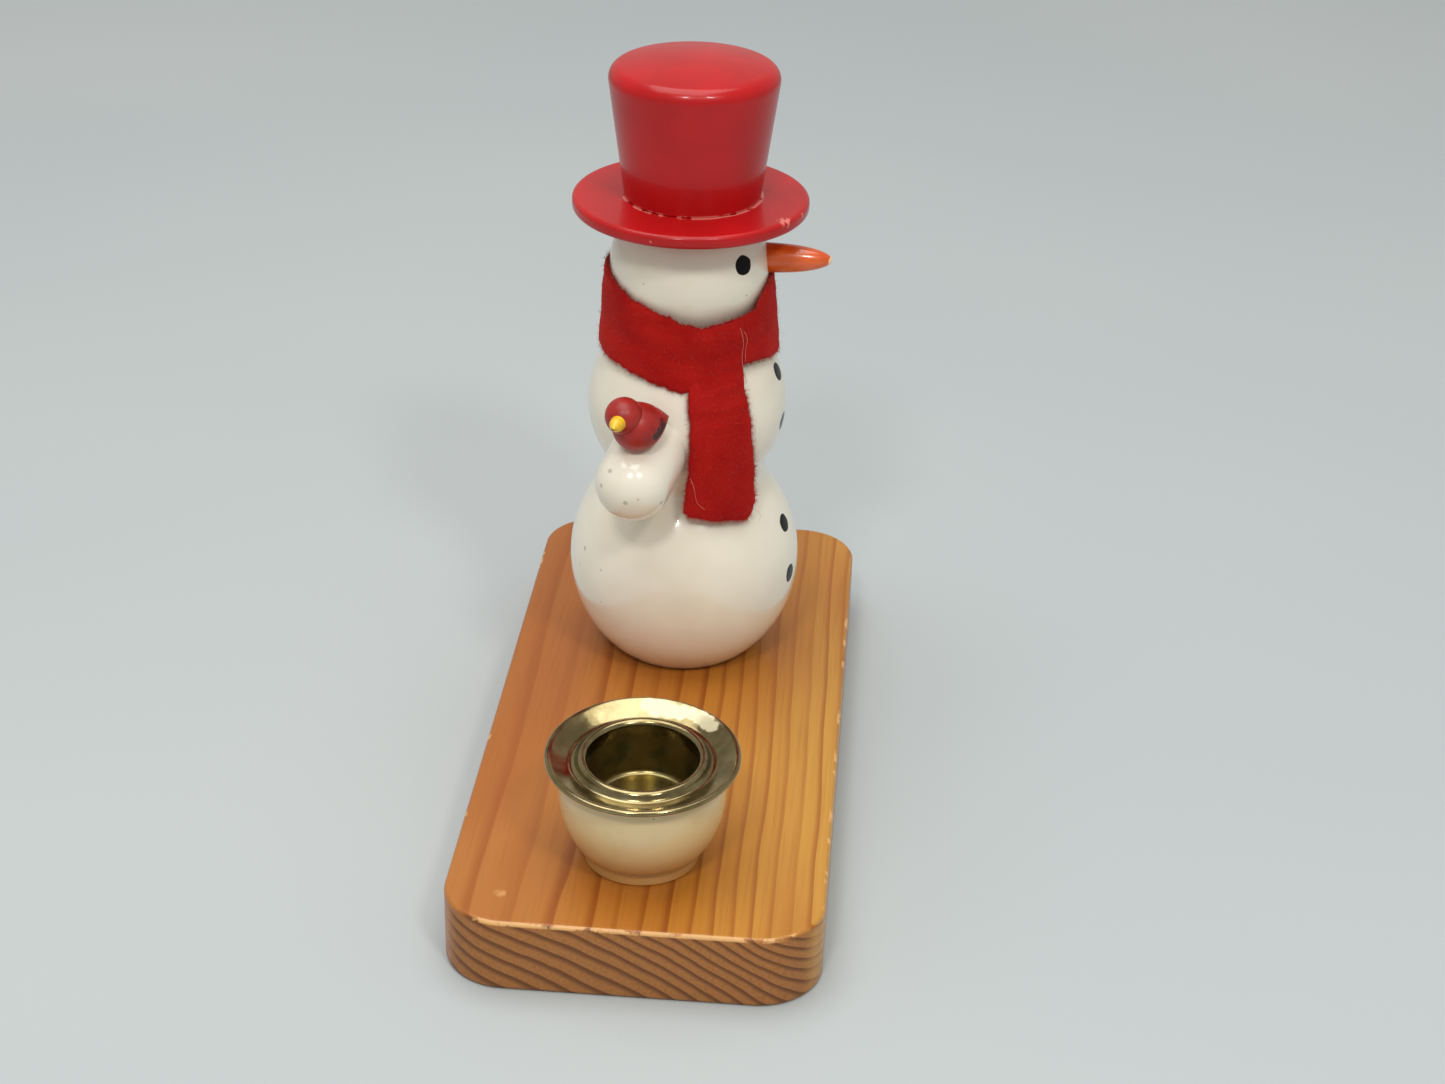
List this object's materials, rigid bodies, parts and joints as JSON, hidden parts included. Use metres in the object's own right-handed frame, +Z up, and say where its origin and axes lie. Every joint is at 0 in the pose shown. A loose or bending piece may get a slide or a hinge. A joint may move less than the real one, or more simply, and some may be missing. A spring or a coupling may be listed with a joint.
{
  "type": "snowman candle holder",
  "caption": "Turned wooden snowman in a red top hat, felt scarf and bird on its arm, on a pine board with a cup and brass insert for a dinner candle.",
  "frame": {"origin": "centre of the board's underside", "axes": "+Z up; +X along the board from the candle cup to the snowman; the snowman looks towards -Y, turned about 15 degrees towards the cup"},
  "size_m": [0.172, 0.0764, 0.1559],
  "materials": {
    "pine": "clear-varnished pine with strong straight grain, worn along the edges",
    "screw_steel": "plain zinc-plated steel wood screws",
    "white_enamel": "turned wood under glossy creamy white enamel, with painted black dots",
    "bare_beech": "bare beech dowel",
    "orange_enamel": "turned wood under glossy orange enamel",
    "red_felt": "fuzzy cut felt strip, deep red",
    "red_enamel": "turned wood under glossy red enamel",
    "bird_red": "small turned pieces under satin red paint with a dark patch on the tail",
    "beak_yellow": "satin yellow paint, chipped at the tip",
    "ivory_enamel": "turned wood under semi-gloss ivory enamel",
    "brass": "thin pressed brass, tarnished, with worn bright patches"
  },
  "bodies": {
    "holder": {"base_board": "pine", "body_screw": "screw_steel", "cup_screw": "screw_steel", "body": "white_enamel", "neck_dowel": "bare_beech", "head": "white_enamel", "nose": "orange_enamel", "scarf": "red_felt", "right_arm": "white_enamel", "right_arm_dowel": "bare_beech", "left_arm": "white_enamel", "left_arm_dowel": "bare_beech", "hat_brim": "red_enamel", "hat_crown": "red_enamel", "hat_dowel": "bare_beech", "bird_body": "bird_red", "bird_head": "bird_red", "bird_beak": "beak_yellow", "bird_peg": "bare_beech", "candle_cup": "ivory_enamel"},
    "insert": {"candle_insert": "brass"}
  },
  "joints": [
    {"name": "candle_insert_lift", "type": "slide", "parent": "holder", "child": "insert", "axis": [0, 0, 1], "range_m": [0, 0.03]}
  ]
}
